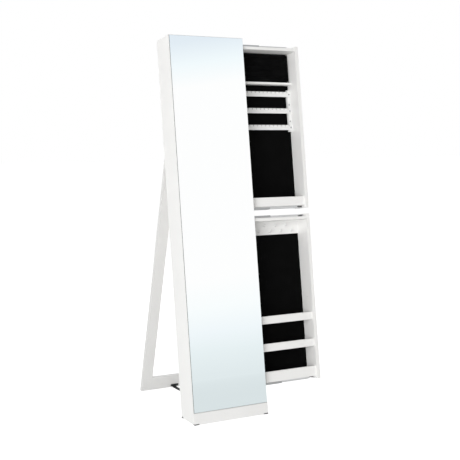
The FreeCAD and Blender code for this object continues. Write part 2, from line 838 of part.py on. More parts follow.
def support_leg():
    top = "-hinge_gap"
    foot = (("leg_front", "foot_front"), ("leg_back", "foot_back"))
    stile = (*foot, ("leg_back", top), ("leg_front", top))
    leg_board("left_stile", ("leg_left", "leg_left + stile_width"), stile)
    leg_board("right_stile", ("leg_right - stile_width", "leg_right"), stile)
    between = ("leg_left + stile_width", "leg_right - stile_width")
    leg_board("top_rail", between, rectangle(LEG_DEPTH, (f"{top} - top_rail_height", top)))
    rail_top = "foot_back + bottom_rail_height"
    leg_board("bottom_rail", between, (*foot, ("leg_back", rail_top), ("leg_front", rail_top)))


# ---- restraint strap ----

STRAP_SLOT = "strap_thick + 2 * strap_play"
HOUSING_PLATE_HEIGHT = "(strap_housing_height + back_face * lean_sin) / lean_cos"
LEG_PLATE_HEIGHT = "(strap_leg_height - pivot_z - leg_front * leg_sin) / leg_cos"


def strap_plate(label, frame, face, outwards, height, size):
    """A plate that holds the strap's end against a face, with a slot for the strap and two screws."""
    middle = "width / 2"

    def spans(near, far):
        ends = (along(face, outwards, near), along(face, outwards, far))
        return ends if outwards > 0 else ends[::-1]

    def sideways(half):
        return f"{middle} - {half}", f"{middle} + {half}"

    plate_out = f"{STRAP_SLOT} + anchor_thick"
    tall = (f"{height} - {size} / 2", f"{height} + {size} / 2")
    plate = block(label + "_plate", sideways("anchor_width / 2"), spans("0", plate_out), tall)
    tools = [block(label + "_slot", sideways("(strap_width / 2 + strap_play)"), spans("0", STRAP_SLOT), tall)]
    screws = []
    direction = "backward" if outwards > 0 else "forward"
    outer_face = along(face, outwards, plate_out)
    for name, x in zip(("left", "right"), sideways("anchor_screw_out")):
        tools.append(rod(f"{label}_hole_{name}", (x, face, height), direction, HOLE_RADIUS, plate_out))
        screws.append(screw(f"{label}_screw_{name}", (x, outer_face, height), direction))
    made = cut(label + "_holed", plate, fuse(label + "_tools", tools))
    group(label, [made, *screws], frame)


def strap_plates():
    strap_plate("strap_plate_housing", "leaning", "back_face", 1, HOUSING_PLATE_HEIGHT, "anchor_height")
    strap_plate("strap_plate_leg", "leg", "leg_front", -1, LEG_PLATE_HEIGHT, "leg_anchor_height")


def rounded_route(points, radii):
    """A wire of straight runs through the points, joined by tangent arcs of the given radii."""
    edges = []
    start = points[0]
    for before, corner, after, radius in zip(points, points[1:], points[2:], radii):
        inward = (corner - before).normalize()
        outward = (after - corner).normalize()
        half_turn = inward.getAngle(outward) / 2
        setback = radius * math.tan(half_turn)
        first = corner - inward * setback
        last = corner + outward * setback
        bisector = (outward - inward).normalize()
        middle = corner + bisector * (radius / math.cos(half_turn) - radius)
        edges += [Part.LineSegment(start, first).toShape(), Part.Arc(first, middle, last).toShape()]
        start = last
    edges.append(Part.LineSegment(start, points[-1]).toShape())
    return Part.Wire(edges)


def leaning_point(y, z):
    """A point of the leaning frame, at the middle of the width, in the part's own frame."""
    turned_y = y * value("lean_cos") + z * value("lean_sin") - value("foot_half")
    return Vector(0, turned_y, z * value("lean_cos") - y * value("lean_sin"))


def leg_point(y, z):
    """A point of the leg's frame, at the middle of the width, in the part's own frame."""
    turned_y = value("pivot_y") + y * value("leg_cos") - z * value("leg_sin")
    return Vector(0, turned_y, value("pivot_z") + y * value("leg_sin") + z * value("leg_cos"))


def restraint_strap():
    """A webbing strap: down from the rear base rail, slack along the floor and up onto the bottom rail."""
    thick = value("strap_thick")
    off_face = thick / 2 + value("strap_play")
    half_plate = value("anchor_height") / 2
    half_leg_plate = value("leg_anchor_height") / 2
    on_floor = value("strap_lift") + thick / 2
    housing_height = number(HOUSING_PLATE_HEIGHT)
    leg_height = number(LEG_PLATE_HEIGHT)
    back = value("back_face") + off_face
    front = value("leg_front") - off_face
    top = leaning_point(back, housing_height + half_plate)
    below_plate = leaning_point(back, housing_height - half_plate - value("strap_drop"))
    leg_top = leg_point(front, leg_height + half_leg_plate)
    leg_foot = leg_point(front, leg_height - half_leg_plate)
    run_out = value("strap_run_out")
    floor_start = Vector(0, below_plate.y + run_out, on_floor)
    slope = (leg_foot.y - leg_top.y) / (leg_foot.z - leg_top.z)
    floor_end = Vector(0, leg_foot.y + slope * (on_floor - leg_foot.z), on_floor)
    route = rounded_route(
        [top, below_plate, floor_start, floor_end, leg_top],
        [value("strap_bend"), value("strap_bend"), value("strap_fold")],
    )
    across = Vector(value("strap_width") / 2, 0, 0)
    through = (below_plate - top).normalize().cross(Vector(1, 0, 0)) * (thick / 2)
    corners = [top - across - through, top + across - through, top + across + through, top - across + through]
    profile = Part.makePolygon([*corners, corners[0]])
    strap = doc.addObject("Part::Feature", "restraint_strap")
    strap.Shape = route.makePipeShell([profile], True, False)
    keep(strap, "restraint_strap", "floor")
    expected = route.Length * value("strap_width") * thick
    print(f"strap length {route.Length:.1f} mm, volume {strap.Shape.Volume:.0f} of {expected:.0f} mm3")


# ---- build and write ----

panels()
base()
housing_screws()
hinges()
upper_pullout()
lower_pullout()
support_leg()
strap_plates()
doc.recompute()
restraint_strap()
doc.recompute()

failed = [thing.Name for thing in doc.Objects if {"Invalid", "Error"} & set(thing.State)]
failed += [piece.Label for piece in PIECES if piece.Shape.isNull() or not piece.Shape.isValid()]
if failed:
    raise ValueError("these objects failed: " + ", ".join(failed))

os.makedirs("parts", exist_ok=True)
for piece in PIECES:
    piece.Shape.exportStep(f"parts/{piece.Label}.step")
print(len(PIECES), "pieces written")
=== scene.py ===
import math
import bmesh
import bpy
from mathutils import Matrix, Vector, noise


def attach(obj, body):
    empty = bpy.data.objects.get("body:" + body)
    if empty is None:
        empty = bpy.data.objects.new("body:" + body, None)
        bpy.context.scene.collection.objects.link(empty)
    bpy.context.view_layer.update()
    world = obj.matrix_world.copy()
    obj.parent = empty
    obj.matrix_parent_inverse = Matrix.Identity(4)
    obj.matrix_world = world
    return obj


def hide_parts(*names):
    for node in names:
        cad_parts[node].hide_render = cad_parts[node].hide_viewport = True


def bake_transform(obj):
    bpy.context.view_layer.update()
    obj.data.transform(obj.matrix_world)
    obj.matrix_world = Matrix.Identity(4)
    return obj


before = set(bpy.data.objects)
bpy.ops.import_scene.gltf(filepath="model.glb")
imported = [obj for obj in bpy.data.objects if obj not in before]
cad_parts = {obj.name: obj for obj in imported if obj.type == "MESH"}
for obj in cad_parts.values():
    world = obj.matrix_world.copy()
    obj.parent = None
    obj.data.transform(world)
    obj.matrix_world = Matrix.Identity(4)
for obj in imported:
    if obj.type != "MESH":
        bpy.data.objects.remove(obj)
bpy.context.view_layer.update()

# A leaning jewelry mirror cabinet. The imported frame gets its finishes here, the soft pieces get their real
# shapes, and the slides get a bracket and a buffer at their outer ends.
# Lengths are in metres, in the frame's own axes: x to the right, y backwards, z up.

WIDTH = 0.325
DEPTH = 0.115
LEAN = math.radians(8.2)
LEG_TILT = math.radians(15.2)


# ---- the leaning frame ----

def leaning_matrix():
    """From the housing's own axes (x right, y back, z along the lean) to the frame's."""
    foot_half = DEPTH / math.cos(LEAN) / 2
    return Matrix.Translation((-WIDTH / 2, -foot_half, 0)) @ Matrix.Rotation(-LEAN, 4, "X")


LEANING = leaning_matrix()


def leaning_box(node):
    """The lowest and highest corners of a node in the housing's own axes."""
    inverse = LEANING.inverted()
    corners = [inverse @ vertex.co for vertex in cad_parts[node].data.vertices]
    low = Vector([min(corner[axis] for corner in corners) for axis in range(3)])
    high = Vector([max(corner[axis] for corner in corners) for axis in range(3)])
    return low, high


# ---- meshes ----

def shade(mesh, smooth):
    """Shades all faces of a mesh smooth or flat."""
    for polygon in mesh.polygons:
        polygon.use_smooth = smooth


def add_piece(name, mesh, finish, smooth=True):
    """Puts a mesh with one finish into the scene."""
    shade(mesh, smooth)
    mesh.materials.clear()
    mesh.materials.append(finish)
    piece = bpy.data.objects.new(name, mesh)
    bpy.context.scene.collection.objects.link(piece)
    return piece


def mesh_from(builder, name):
    """What has been built as a mesh, with its faces turned outwards."""
    mesh = bpy.data.meshes.new(name)
    bmesh.ops.recalc_face_normals(builder, faces=builder.faces)
    builder.to_mesh(mesh)
    builder.free()
    return mesh


def apply_modifiers(piece):
    """Replaces a piece's mesh by what its modifiers make of it now."""
    depsgraph = bpy.context.evaluated_depsgraph_get()
    shown = piece.evaluated_get(depsgraph)
    made = bpy.data.meshes.new_from_object(shown, preserve_all_data_layers=True, depsgraph=depsgraph)
    piece.modifiers.clear()
    piece.data = made


def rounded_block(builder, low, high, rounding, steps):
    """Adds a block with rounded edges, between two corners in the housing's own axes."""
    low, high = Vector(low), Vector(high)
    made = bmesh.ops.create_cube(builder, size=1)["verts"]
    middle = (low + high) / 2
    size = high - low
    for vertex in made:
        vertex.co = Vector([middle[axis] + vertex.co[axis] * size[axis] for axis in range(3)])
    edges = {edge for vertex in made for edge in vertex.link_edges}
    bmesh.ops.bevel(builder, geom=list(edges), offset=rounding, segments=steps, affect="EDGES", profile=0.5)


# ---- node trees ----

def add(tree, kind, inputs=None, **settings):
    """A node with its settings, and its inputs linked where a socket is given and set otherwise."""
    made = tree.nodes.new(kind)
    for name, setting in settings.items():
        setattr(made, name, setting)
    for name, source in (inputs or {}).items():
        feed(tree, made.inputs[name], source)
    return made


def feed(tree, socket, source):
    """Links a socket to another one, or sets it to a value."""
    if isinstance(source, bpy.types.NodeSocket):
        tree.links.new(source, socket)
    else:
        socket.default_value = source


def socket_of(sockets, identifier):
    return next(socket for socket in sockets if socket.identifier == identifier)


def colour(level, tint=(1, 1, 1)):
    """A grey level, tinted, as a colour."""
    return (*[level * share for share in tint], 1)


def colour_ramp(tree, factor, stops):
    """Colours, or grey levels, at positions along a factor."""
    made = add(tree, "ShaderNodeValToRGB", {"Fac": factor})
    points = made.color_ramp.elements
    while len(points) < len(stops):
        points.new(0.5)
    for point, (position, tone) in zip(points, stops):
        point.position = position
        point.color = tone if isinstance(tone, tuple) else colour(tone)
    return made.outputs["Color"]


# A face counts as flat where the largest part of its normal is over this, and as an eased edge elsewhere.
FLAT_FACING = 0.96
# A face counts as a front where the backward part of its normal is under this.
FRONT_FACING = -0.9


class Finish:
    """A material with one principled shader, and short calls for the textures that feed it."""

    def __init__(self, name, tilt=LEAN):
        self.material = bpy.data.materials.new(name)
        self.material.use_nodes = True
        self.tree = self.material.node_tree
        self.shader = next(node for node in self.tree.nodes if node.type == "BSDF_PRINCIPLED")
        coordinates = add(self.tree, "ShaderNodeTexCoord")
        self.place = self.level(coordinates.outputs["Object"], tilt)
        self.facing = self.level(coordinates.outputs["Normal"], tilt)

    def level(self, vector, tilt):
        """A vector turned into the piece's own upright axes."""
        inputs = {"Vector": vector, "Angle": tilt}
        return add(self.tree, "ShaderNodeVectorRotate", inputs, rotation_type="X_AXIS").outputs["Vector"]

    def set(self, **inputs):
        """Feeds the shader, with each name's words joined by underscores."""
        for name, source in inputs.items():
            feed(self.tree, self.shader.inputs[name.replace("_", " ")], source)

    def stretched(self, scale):
        """The place with each axis scaled, so that a texture comes out longer where the scale is small."""
        inputs = {0: self.place, 1: scale}
        return add(self.tree, "ShaderNodeVectorMath", inputs, operation="MULTIPLY").outputs[0]

    def noise(self, scale, detail=2.0, roughness=0.5, distortion=0.0, vector=None):
        inputs = {"Vector": vector or self.place, "Scale": scale, "Detail": detail}
        inputs.update({"Roughness": roughness, "Distortion": distortion})
        return add(self.tree, "ShaderNodeTexNoise", inputs).outputs["Fac"]

    def flakes(self, scale):
        inputs = {"Vector": self.place, "Scale": scale}
        return add(self.tree, "ShaderNodeTexVoronoi", inputs).outputs["Color"]

    def ramp(self, factor, *stops):
        return colour_ramp(self.tree, factor, stops)

    def mix(self, factor, first, second):
        """The first colour at a factor of 0, and the second at 1."""
        made = add(self.tree, "ShaderNodeMix", data_type="RGBA")
        feed(self.tree, socket_of(made.inputs, "Factor_Float"), factor)
        feed(self.tree, socket_of(made.inputs, "A_Color"), first)
        feed(self.tree, socket_of(made.inputs, "B_Color"), second)
        return socket_of(made.outputs, "Result_Color")

    def math(self, operation, first, second=0.5):
        return add(self.tree, "ShaderNodeMath", {0: first, 1: second}, operation=operation).outputs[0]

    def spread(self, factor, low, high):
        """A factor from 0 to 1 as a number from low to high."""
        inputs = {"Value": factor, "To Min": low, "To Max": high}
        return add(self.tree, "ShaderNodeMapRange", inputs).outputs["Result"]

    def part(self, vector, axis):
        return add(self.tree, "ShaderNodeSeparateXYZ", {"Vector": vector}).outputs[axis]

    def eased_edge(self):
        """1 on the narrow slanted faces that ease a board's edges, and 0 on its flat faces."""
        parts = [self.math("ABSOLUTE", self.part(self.facing, axis)) for axis in "XYZ"]
        widest = self.math("MAXIMUM", self.math("MAXIMUM", parts[0], parts[1]), parts[2])
        return self.math("LESS_THAN", widest, FLAT_FACING)

    def front_face(self):
        """1 on a board's front, and 0 elsewhere."""
        return self.math("LESS_THAN", self.part(self.facing, "Y"), FRONT_FACING)

    def bump(self, height, strength, depth, below=None):
        inputs = {"Height": height, "Strength": strength, "Distance": depth}
        if below is not None:
            inputs["Normal"] = below
        return add(self.tree, "ShaderNodeBump", inputs).outputs["Normal"]


# ---- finishes ----
# Each function makes its textures first, with their scale per metre, and then feeds the surface with them.

WARM = (1.0, 0.995, 0.983)
STEEL = (1.0, 0.975, 0.965)


def laminate(name, tilt, level=1.0):
    """Satin white melamine: faintly cloudy, with a fine pearl grain and slightly greyer edges."""
    finish = Finish(name, tilt)
    cloud = finish.noise(5.0, detail=3.0)
    smudge = finish.noise(38.0, detail=5.0, roughness=0.6)
    pearl = finish.noise(1300.0, detail=1.0)
    # level scales every colour: below 1 it is painted shade (the leg), above 1 painted light (the boxes).
    low = colour(0.882 * level, WARM)
    high = colour(0.902 * level, WARM)
    smudged = colour(0.80 * level, WARM)
    rubbed = colour(0.74 * level, WARM)
    panel = finish.ramp(cloud, (0.35, low), (0.65, high))
    panel = finish.mix(finish.ramp(smudge, (0.58, 0.0), (0.78, 0.12)), panel, smudged)
    worn = finish.math("MULTIPLY", finish.eased_edge(), finish.spread(smudge, 0.15, 0.75))
    finish.set(Base_Color=finish.mix(worn, panel, rubbed))
    finish.set(Roughness=finish.spread(smudge, 0.34, 0.50))
    dimple = finish.bump(pearl, 0.12, 0.0001)
    finish.set(Normal=finish.bump(cloud, 0.06, 0.0006, dimple))
    return finish.material


def painted_hardboard():
    """The thin white-faced boards of the backs: a little rougher, with fibres in the face and bare edges."""
    finish = Finish("white_back_board")
    fibre = finish.noise(420.0, detail=4.0, roughness=0.7, vector=finish.stretched((1.0, 1.0, 0.25)))
    cloud = finish.noise(9.0, detail=3.0)
    face = finish.ramp(cloud, (0.3, (0.80, 0.795, 0.78, 1)), (0.7, (0.835, 0.83, 0.815, 1)))
    face = finish.mix(finish.ramp(fibre, (0.55, 0.0), (0.75, 0.35)), face, (0.74, 0.72, 0.69, 1))
    bare = finish.math("MULTIPLY", finish.eased_edge(), finish.spread(fibre, 0.4, 0.9))
    finish.set(Base_Color=finish.mix(bare, face, (0.52, 0.43, 0.33, 1)))
    finish.set(Roughness=finish.spread(fibre, 0.58, 0.78))
    finish.set(Normal=finish.bump(fibre, 0.25, 0.0002))
    return finish.material


def silvered_glass():
    """Plane mirror: silver on the front, and dark green ground edges."""
    finish = Finish("mirror_silver")
    front = finish.front_face()
    haze = finish.noise(14.0, detail=6.0, roughness=0.65)
    ground = finish.noise(900.0, detail=3.0)
    edge = finish.ramp(ground, (0.3, (0.020, 0.032, 0.029, 1)), (0.7, (0.050, 0.072, 0.066, 1)))
    finish.set(Base_Color=finish.mix(front, edge, (0.985, 0.992, 0.992, 1)))
    finish.set(Metallic=front)
    polished = finish.ramp(haze, (0.5, 0.004), (0.85, 0.02))
    finish.set(Roughness=finish.mix(front, finish.ramp(ground, (0.3, 0.18), (0.7, 0.32)), polished))
    return finish.material


def felt():
    """Black needled felt: matted fibres in every direction, slightly cloudy."""
    finish = Finish("needled_felt")
    mat = finish.noise(1500.0, detail=6.0, roughness=0.75, distortion=1.4)
    strand = finish.noise(260.0, detail=4.0, distortion=3.0, vector=finish.stretched((1.0, 1.0, 0.4)))
    cloud = finish.noise(24.0, detail=3.0)
    matted = finish.ramp(mat, (0.35, (0.0016, 0.0016, 0.0016, 1)), (0.7, (0.0042, 0.0042, 0.0043, 1)))
    clouded = finish.ramp(cloud, (0.45, 0.0), (0.7, 0.4))
    finish.set(Base_Color=finish.mix(clouded, matted, (0.0046, 0.0046, 0.0047, 1)))
    finish.set(Roughness=finish.spread(mat, 0.88, 1.0), Specular_IOR_Level=0.04)
    finish.set(Sheen_Weight=0.008, Sheen_Roughness=0.6)
    finish.set(Normal=finish.bump(mat, 0.55, 0.0004, finish.bump(strand, 0.3, 0.0006)))
    return finish.material


def velvet():
    """Black flocked velvet: a short pile that is brushed a little differently from place to place."""
    finish = Finish("flocked_velvet")
    pile = finish.noise(3200.0, detail=2.0)
    brushed = finish.noise(46.0, detail=4.0, distortion=1.2, vector=finish.stretched((0.5, 1.0, 1.0)))
    dark = finish.ramp(brushed, (0.35, (0.0018, 0.0018, 0.0019, 1)), (0.68, (0.0046, 0.0046, 0.0048, 1)))
    tips = finish.ramp(pile, (0.55, 0.0), (0.75, 0.3))
    finish.set(Base_Color=finish.mix(tips, dark, (0.007, 0.007, 0.0073, 1)))
    finish.set(Roughness=finish.spread(brushed, 0.82, 0.98), Specular_IOR_Level=0.04)
    finish.set(Sheen_Weight=0.02, Sheen_Roughness=0.4)
    finish.set(Normal=finish.bump(pile, 0.5, 0.0002, finish.bump(brushed, 0.3, 0.0008)))
    return finish.material


def moulded_plastic():
    """White moulded plastic of the bars, strips and hooks: slightly glossy, with faint flow marks."""
    finish = Finish("white_plastic")
    flow = finish.noise(60.0, detail=4.0, distortion=0.8, vector=finish.stretched((0.2, 1.0, 1.0)))
    fine = finish.noise(2200.0, detail=1.0)
    body = finish.ramp(flow, (0.3, (0.865, 0.865, 0.860, 1)), (0.7, (0.895, 0.895, 0.892, 1)))
    worn = finish.math("MULTIPLY", finish.eased_edge(), 0.35)
    finish.set(Base_Color=finish.mix(worn, body, (0.80, 0.80, 0.79, 1)))
    finish.set(Roughness=finish.spread(flow, 0.20, 0.34))
    finish.set(Coat_Weight=0.15, Coat_Roughness=0.12)
    finish.set(Normal=finish.bump(fine, 0.05, 0.0001, finish.bump(flow, 0.08, 0.0003)))
    return finish.material


def zinc_plate(name, level=1.0):
    """Zinc-plated rolled steel: fine roll lines along the length, and small flakes."""
    finish = Finish(name)
    rolled = finish.noise(900.0, detail=3.0, vector=finish.stretched((0.02, 1.0, 1.0)))
    stain = finish.noise(30.0, detail=5.0, roughness=0.65)
    flake = finish.part(finish.flakes(1400.0), "X")
    # level below 1 darkens every colour: painted shade on the middle slides.
    low = colour(0.74 * level, STEEL)
    high = colour(0.85 * level, STEEL)
    stained = colour(0.60 * level, STEEL)
    metal = finish.ramp(flake, (0.1, low), (0.9, high))
    metal = finish.mix(finish.ramp(stain, (0.55, 0.0), (0.8, 0.4)), metal, stained)
    finish.set(Base_Color=metal, Metallic=1.0)
    finish.set(Roughness=finish.spread(finish.mix(0.5, rolled, stain), 0.34, 0.6))
    finish.set(Normal=finish.bump(rolled, 0.2, 0.0001))
    return finish.material


def screw_metal():
    """Bright plated screws, scratched by the driver."""
    finish = Finish("screw_metal")
    scratch = finish.noise(1800.0, detail=4.0, distortion=2.0, vector=finish.stretched((1.0, 0.15, 1.0)))
    dull = finish.noise(500.0, detail=2.0)
    metal = finish.ramp(scratch, (0.35, (0.36, 0.36, 0.37, 1)), (0.65, (0.62, 0.62, 0.63, 1)))
    finish.set(Base_Color=metal)
    finish.set(Metallic=1.0, Roughness=finish.spread(dull, 0.24, 0.46))
    finish.set(Normal=finish.bump(scratch, 0.25, 0.0001))
    return finish.material


def rubber(name, level):
    """Moulded rubber with a matt skin and a little dust."""
    finish = Finish(name, 0.0)
    grain = finish.noise(1600.0, detail=3.0)
    dust = finish.noise(130.0, detail=5.0, roughness=0.7)
    body = finish.ramp(grain, (0.3, colour(level)), (0.7, colour(level * 1.6)))
    dusty = colour(level * 1.5 + 0.05, WARM)
    finish.set(Base_Color=finish.mix(finish.ramp(dust, (0.55, 0.0), (0.8, 0.25)), body, dusty))
    finish.set(Roughness=finish.spread(grain, 0.62, 0.85), Specular_IOR_Level=0.35)
    finish.set(Normal=finish.bump(grain, 0.3, 0.0001))
    return finish.material


def webbing():
    """Black woven polyester: each yarn's filaments catch a little light."""
    finish = Finish("woven_webbing", 0.0)
    filament = finish.noise(2600.0, detail=3.0, vector=finish.stretched((1.0, 0.25, 1.0)))
    wear = finish.noise(90.0, detail=4.0)
    yarn = finish.ramp(filament, (0.35, (0.008, 0.008, 0.009, 1)), (0.7, (0.024, 0.024, 0.026, 1)))
    worn = finish.ramp(wear, (0.6, 0.0), (0.8, 0.35))
    finish.set(Base_Color=finish.mix(worn, yarn, (0.05, 0.05, 0.05, 1)))
    finish.set(Roughness=finish.spread(filament, 0.55, 0.8), Specular_IOR_Level=0.3)
    finish.set(Sheen_Weight=0.08, Sheen_Roughness=0.4)
    finish.set(Normal=finish.bump(filament, 0.4, 0.0002))
    return finish.material


def powder_coat():
    """Black powder-coated steel: a fine orange peel, rubbed to grey on its edges."""
    finish = Finish("powder_coat")
    peel = finish.noise(750.0, detail=1.0)
    rub = finish.noise(260.0, detail=5.0, roughness=0.7)
    coat = finish.ramp(rub, (0.35, (0.014, 0.014, 0.015, 1)), (0.7, (0.024, 0.024, 0.025, 1)))
    bare = finish.math("MULTIPLY", finish.eased_edge(), finish.ramp(rub, (0.55, 0.0), (0.7, 0.8)))
    finish.set(Base_Color=finish.mix(bare, coat, (0.22, 0.22, 0.22, 1)))
    finish.set(Roughness=finish.spread(rub, 0.36, 0.52))
    finish.set(Normal=finish.bump(peel, 0.18, 0.0002))
    return finish.material


FEET_LEVEL = 0.10
BUFFER_LEVEL = 0.12
# The leg's copy of the white laminate is darker by this: painted shade, as the leg is the same white board.
LEG_PAINTED_SHADE = 0.87
# The boxes' copy of the white laminate is lighter by this: painted light on the same white board.
BOX_PAINTED_LIGHT = 1.05
# The middle slides' copy of the zinc is darker by this: painted shade for the dark line in the gap between
# the boxes.
MIDDLE_SLIDE_PAINTED_SHADE = 0.62

FINISHES = {
    "white_laminate": laminate("white_melamine", LEAN),
    "white_back": painted_hardboard(),
    "mirror": silvered_glass(),
    "black_felt": felt(),
    "black_velvet": velvet(),
    "white_acrylic": moulded_plastic(),
    "zinc_steel": zinc_plate("zinc_plate"),
    "screw_steel": screw_metal(),
    "black_rubber": rubber("rubber_feet", FEET_LEVEL),
    "black_webbing": webbing(),
    "black_plate": powder_coat(),
}
# The leg's laminate, darker all over: painted shade.
LEG_SHADED_LAMINATE = laminate("white_melamine_leg_painted_shade", -LEG_TILT, LEG_PAINTED_SHADE)
# The boxes' laminate, lighter all over: painted light.
BOX_LIT_LAMINATE = laminate("white_melamine_boxes_painted_light", LEAN, BOX_PAINTED_LIGHT)
BUFFER_RUBBER = rubber("grey_buffer", BUFFER_LEVEL)
# The middle slides' zinc, darker all over: painted shade.
MIDDLE_SLIDE_SHADED_STEEL = zinc_plate("zinc_plate_painted_shade", MIDDLE_SLIDE_PAINTED_SHADE)

LEG_BOARDS = ("left_stile", "right_stile", "top_rail", "bottom_rail")
MIDDLE_SLIDES = ("upper_slide_middles", "lower_slide_middles")
BOX_NAMES = ("upper_", "lower_", "high_shelf", "low_shelf", "hook_board", "ring_ledge")


def finish_nodes():
    """Gives each node the finish of its slot. The leg's boards get a darker laminate (painted shade), the
    boxes' boards a lighter one (painted light) and the middle slides a darker zinc (painted shade).
    """
    own = dict.fromkeys(LEG_BOARDS, LEG_SHADED_LAMINATE)
    own.update(dict.fromkeys(MIDDLE_SLIDES, MIDDLE_SLIDE_SHADED_STEEL))
    for name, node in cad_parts.items():
        in_box = name.startswith(BOX_NAMES)
        for place in node.material_slots:
            kind = place.material.name.split(".")[0]
            usual = BOX_LIT_LAMINATE if in_box and kind == "white_laminate" else FINISHES[kind]
            place.material = own.get(name, usual)


# ---- ring cushion ----

PAD_SHRINK = 0.0012
PAD_WELD = 0.00001
PAD_VOXEL = 0.004
PAD_FRAMES = 20
PAD_SWELL = 0.004
CLOTH_QUALITY = 6
CLOTH_MASS = 0.2
CLOTH_STIFFNESS = 12
CLOTH_BENDING = 0.4
CLOTH_PRESSURE = 4.0


def pad_start():
    """The cushion's foam before it swells: the node's form, a little smaller, in even small faces."""
    low, high = leaning_box("ring_cushion")
    middle = (low + high) / 2
    size = high - low
    shrink = Matrix.Diagonal([(side - 2 * PAD_SHRINK) / side for side in size]).to_4x4()
    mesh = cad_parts["ring_cushion"].data.copy()
    mesh.transform(LEANING.inverted())
    mesh.transform(Matrix.Translation(middle) @ shrink @ Matrix.Translation(-middle))
    pad = add_piece("ring_pad", mesh, FINISHES["black_velvet"])
    weld = pad.modifiers.new("weld", "WELD")
    weld.merge_threshold = PAD_WELD
    remesh = pad.modifiers.new("remesh", "REMESH")
    remesh.mode = "VOXEL"
    remesh.voxel_size = PAD_VOXEL
    apply_modifiers(pad)
    return pad


def inflate(pad):
    """Swells the foam as cloth under pressure, and caps how far each point may move."""
    before = [vertex.co.copy() for vertex in pad.data.vertices]
    cloth = pad.modifiers.new("cloth", "CLOTH")
    cloth.settings.quality = CLOTH_QUALITY
    cloth.settings.mass = CLOTH_MASS
    cloth.settings.tension_stiffness = CLOTH_STIFFNESS
    cloth.settings.compression_stiffness = CLOTH_STIFFNESS
    cloth.settings.bending_stiffness = CLOTH_BENDING
    cloth.settings.use_pressure = True
    cloth.settings.uniform_pressure_force = CLOTH_PRESSURE
    cloth.settings.effector_weights.gravity = 0
    cloth.point_cache.frame_start = 1
    cloth.point_cache.frame_end = PAD_FRAMES
    for step in range(1, PAD_FRAMES + 1):
        bpy.context.scene.frame_set(step)
    apply_modifiers(pad)
    bpy.context.scene.frame_set(1)
    for vertex, start in zip(pad.data.vertices, before):
        move = vertex.co - start
        if move.length > PAD_SWELL:
            vertex.co = start + move.normalized() * PAD_SWELL


def seat_pad(pad):
    """Flattens the pad where it rests on its felt and ledge, and keeps it inside its space."""
    low, high = leaning_box("ring_cushion")
    for vertex in pad.data.vertices:
        for axis in range(3):
            vertex.co[axis] = min(max(vertex.co[axis], low[axis]), high[axis])


PAD_ROLLS = 5
# A roll's sides fall back by this from its middle.
ROLL_FALL = 0.0012
SLIT_DEPTH = 0.0055
SLIT_WIDTH = 0.0022
# The slits fade out over this length towards the pad's two ends.
SLIT_FADE = 0.02
# As shares of the pad's thickness from behind: where the slits begin, and how much more they need to be full.
SLIT_START = 0.35
SLIT_RISE = 0.4


def slit_pad(pad):
    """Presses the ring slits into the crown, so that the foam stands up in rolls between them."""
    low, high = leaning_box("ring_cushion")
    pitch = (high.z - low.z) / PAD_ROLLS
    thickness = high.y - low.y
    for vertex in pad.data.vertices:
        forward = (high.y - vertex.co.y) / thickness
        if forward < SLIT_START:
            continue
        height = (vertex.co.z - low.z) / pitch
        nearest = round(height)
        if not 0 < nearest < PAD_ROLLS:
            continue
        beside = abs(height - nearest) * pitch
        to_end = min(vertex.co.x - low.x, high.x - vertex.co.x)
        fade = min(1.0, to_end / SLIT_FADE) * min(1.0, (forward - SLIT_START) / SLIT_RISE)
        vertex.co.y += SLIT_DEPTH * fade * math.exp(-(beside / SLIT_WIDTH) ** 2)
        vertex.co.y += ROLL_FALL * fade * (2 * beside / pitch - 1) ** 2


def ring_pad():
    """The swollen cushion with its slits, in the place of the plain one."""
    pad = pad_start()
    inflate(pad)
    seat_pad(pad)
    slit_pad(pad)
    round_off = pad.modifiers.new("round_off", "SUBSURF")
    round_off.levels = 1
    round_off.render_levels = 1
    apply_modifiers(pad)
    pad.data.transform(LEANING)
    shade(pad.data, True)
    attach(pad, "upper_pullout")
    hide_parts("ring_cushion")


PIPING_RADIUS = 0.0009
PIPING_INSET = PIPING_RADIUS * 1.05
PIPING_CORNER = 0.005
PIPING_STEPS = 6
# The piping lies this far in front of the pad's back.
PIPING_BACK = 0.0088


def piping_points(low, high):
    """The piping's line round the pad, as (x, z): a quarter circle at each corner."""
    x = (low.x + PIPING_INSET, high.x - PIPING_INSET)
    z = (low.z + PIPING_INSET, high.z - PIPING_INSET)
    points = []
    for index in range(4 * (PIPING_STEPS + 1)):
        side, step = divmod(index, PIPING_STEPS + 1)
        angle = math.pi / 2 * (side + step / PIPING_STEPS)
        right, top = side in (0, 3), side in (0, 1)
        across = x[right] + PIPING_CORNER * (math.cos(angle) - (1 if right else -1))
        up = z[top] + PIPING_CORNER * (math.sin(angle) - (1 if top else -1))
        points.append((across, up))
    return points


def ring_pad_piping():
    """The sewn edge that runs round the pad's side."""
    low, high = leaning_box("ring_cushion")
    depth = high.y - PIPING_BACK
    points = piping_points(low, high)
    route = bpy.data.curves.new("ring_pad_piping", "CURVE")
    route.dimensions = "3D"
    route.bevel_depth = PIPING_RADIUS
    route.bevel_resolution = 2
    line = route.splines.new("POLY")
    line.points.add(len(points) - 1)
    for point, (across, up) in zip(line.points, points):
        point.co = (*(LEANING @ Vector((across, depth, up))), 1)
    line.use_cyclic_u = True
    route.materials.append(FINISHES["black_velvet"])
    piece = bpy.data.objects.new("ring_pad_piping", route)
    bpy.context.scene.collection.objects.link(piece)
    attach(piece, "upper_pullout")


# ---- felt linings ----

FELT_STEP = 0.006
FELT_ROLL = 0.0012
FELT_WAVE = 0.00022
FELT_WAVES_PER_METRE = 30


